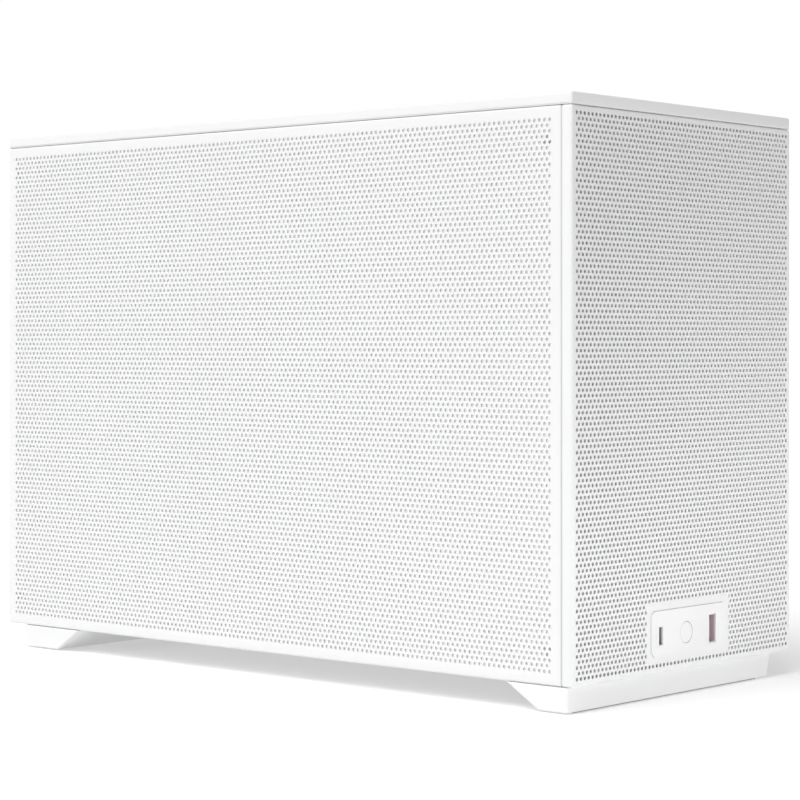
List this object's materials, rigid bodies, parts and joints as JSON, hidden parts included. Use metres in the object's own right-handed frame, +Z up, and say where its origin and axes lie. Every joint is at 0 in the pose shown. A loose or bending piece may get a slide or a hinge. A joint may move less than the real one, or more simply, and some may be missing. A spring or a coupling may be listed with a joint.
{
  "type": "desktop computer tower",
  "caption": "Compact white desktop computer tower with lift-off perforated panels, foot bars, a small front port plate, fans and the working computer inside.",
  "frame": {"origin": "on the floor under the middle of the case, at the height of the foot pads", "axes": "+Z up; the front with the port plate faces -Y and the left side panel faces -X"},
  "size_m": [0.198, 0.4276, 0.306],
  "materials": {
    "panel_steel": "fine satin white powder coat",
    "chassis_steel": "satin white powder coat",
    "white_plastic": "matt white",
    "dust_net": "fine white nylon net",
    "foot_rubber": "matt grey",
    "port_steel": "bright nickel",
    "screw_steel": "bright zinc",
    "circuit_board": "white solder resist",
    "cooler_aluminium": "satin",
    "fan_plastic": "matt white",
    "black_plastic": "matt black",
    "lead_rubber": "matt white",
    "sleeve_fabric": "white braided sleeve"
  },
  "bodies": {
    "chassis": {"base_tray": "chassis_steel", "rear_wall": "chassis_steel", "front_frame": "chassis_steel", "top_frame": "chassis_steel", "motherboard_tray": "chassis_steel", "panel_sockets": "white_plastic", "front_foot": "panel_steel", "rear_foot": "panel_steel", "foot_pads": "foot_rubber", "io_plate": "white_plastic", "usb_c_port": "port_steel", "usb_a_port": "port_steel", "io_board": "circuit_board", "motherboard": "circuit_board", "standoffs": "screw_steel", "board_screws": "screw_steel", "processor_and_socket": "port_steel", "board_connectors": "white_plastic", "memory_modules": "cooler_aluminium", "rear_port_block": "port_steel", "board_heat_sinks": "cooler_aluminium", "solid_state_drive": "cooler_aluminium", "cooler_base_and_pipes": "cooler_aluminium", "cooler_fins": "cooler_aluminium", "rear_fan_frame": "fan_plastic", "cooler_fan_frame": "fan_plastic", "top_fan_front_frame": "fan_plastic", "top_fan_rear_frame": "fan_plastic", "graphics_board": "circuit_board", "graphics_shroud": "white_plastic", "graphics_heat_sink": "cooler_aluminium", "graphics_bracket": "port_steel", "slot_covers": "chassis_steel", "rear_screws": "screw_steel", "power_supply_casing": "chassis_steel", "power_supply_fan_guard": "screw_steel", "power_supply_bracket": "chassis_steel", "mains_inlet": "black_plastic", "mains_lead": "lead_rubber", "power_cables": "sleeve_fabric", "front_io_cable": "sleeve_fabric"},
    "left_panel": {"left_panel": "panel_steel", "left_dust_net": "dust_net"},
    "right_panel": {"right_panel": "panel_steel", "right_dust_net": "dust_net"},
    "front_panel": {"front_panel": "panel_steel", "front_dust_net": "dust_net"},
    "top_cover": {"top_cover": "panel_steel", "top_dust_net": "dust_net"},
    "bottom_filter": {"bottom_filter": "white_plastic"},
    "power_button": {"power_button": "white_plastic"},
    "power_supply_switch": {"power_supply_switch": "black_plastic"},
    "rear_fan_rotor": {"rear_fan_rotor": "fan_plastic"},
    "cooler_fan_rotor": {"cooler_fan_rotor": "fan_plastic"},
    "top_fan_front_rotor": {"top_fan_front_rotor": "fan_plastic"},
    "top_fan_rear_rotor": {"top_fan_rear_rotor": "fan_plastic"},
    "graphics_fan_front_rotor": {"graphics_fan_front_rotor": "fan_plastic"},
    "graphics_fan_rear_rotor": {"graphics_fan_rear_rotor": "fan_plastic"},
    "power_supply_fan_rotor": {"power_supply_fan_rotor": "fan_plastic"}
  },
  "joints": [
    {"name": "bottom_filter_pull", "type": "slide", "parent": "chassis", "child": "bottom_filter", "axis": [-1, 0, 0], "range_m": [0, 0.19]},
    {"name": "front_panel_pull", "type": "slide", "parent": "chassis", "child": "front_panel", "axis": [0, -1, 0], "range_m": [0, 0.12]},
    {"name": "left_panel_pull", "type": "slide", "parent": "chassis", "child": "left_panel", "axis": [-1, 0, 0], "range_m": [0, 0.16]},
    {"name": "power_button_press", "type": "slide", "parent": "chassis", "child": "power_button", "axis": [0, 1, 0], "range_m": [0, 0.0012], "stiffness_N_per_m": 600, "springref_m": -0.001},
    {"name": "right_panel_pull", "type": "slide", "parent": "chassis", "child": "right_panel", "axis": [1, 0, 0], "range_m": [0, 0.16]},
    {"name": "supply_switch_rock", "type": "hinge", "parent": "chassis", "child": "power_supply_switch", "pos_m": [-0.066, -0.15, 0.145], "axis": [1, 0, 0], "range_deg": [-14, 0]},
    {"name": "top_cover_lift", "type": "slide", "parent": "chassis", "child": "top_cover", "axis": [0, 0, 1], "range_m": [0, 0.12]},
    {"name": "turn_cooler_fan", "type": "hinge", "parent": "chassis", "child": "cooler_fan_rotor", "pos_m": [-0.021, 0.0985, 0.2], "axis": [0, 1, 0], "continuous": true},
    {"name": "turn_graphics_fan_front", "type": "hinge", "parent": "chassis", "child": "graphics_fan_front_rotor", "pos_m": [-0.004, -0.016, 0.07], "axis": [0, 0, 1], "continuous": true},
    {"name": "turn_graphics_fan_rear", "type": "hinge", "parent": "chassis", "child": "graphics_fan_rear_rotor", "pos_m": [-0.004, 0.106, 0.07], "axis": [0, 0, 1], "continuous": true},
    {"name": "turn_power_supply_fan", "type": "hinge", "parent": "chassis", "child": "power_supply_fan_rotor", "pos_m": [-0.0785, -0.11, 0.2075], "axis": [1, 0, 0], "continuous": true},
    {"name": "turn_rear_fan", "type": "hinge", "parent": "chassis", "child": "rear_fan_rotor", "pos_m": [-0.034, 0.197, 0.2], "axis": [0, 1, 0], "continuous": true},
    {"name": "turn_top_fan_front", "type": "hinge", "parent": "chassis", "child": "top_fan_front_rotor", "pos_m": [0, -0.009, 0.283], "axis": [0, 0, 1], "continuous": true},
    {"name": "turn_top_fan_rear", "type": "hinge", "parent": "chassis", "child": "top_fan_rear_rotor", "pos_m": [0, 0.112, 0.283], "axis": [0, 0, 1], "continuous": true}
  ]
}
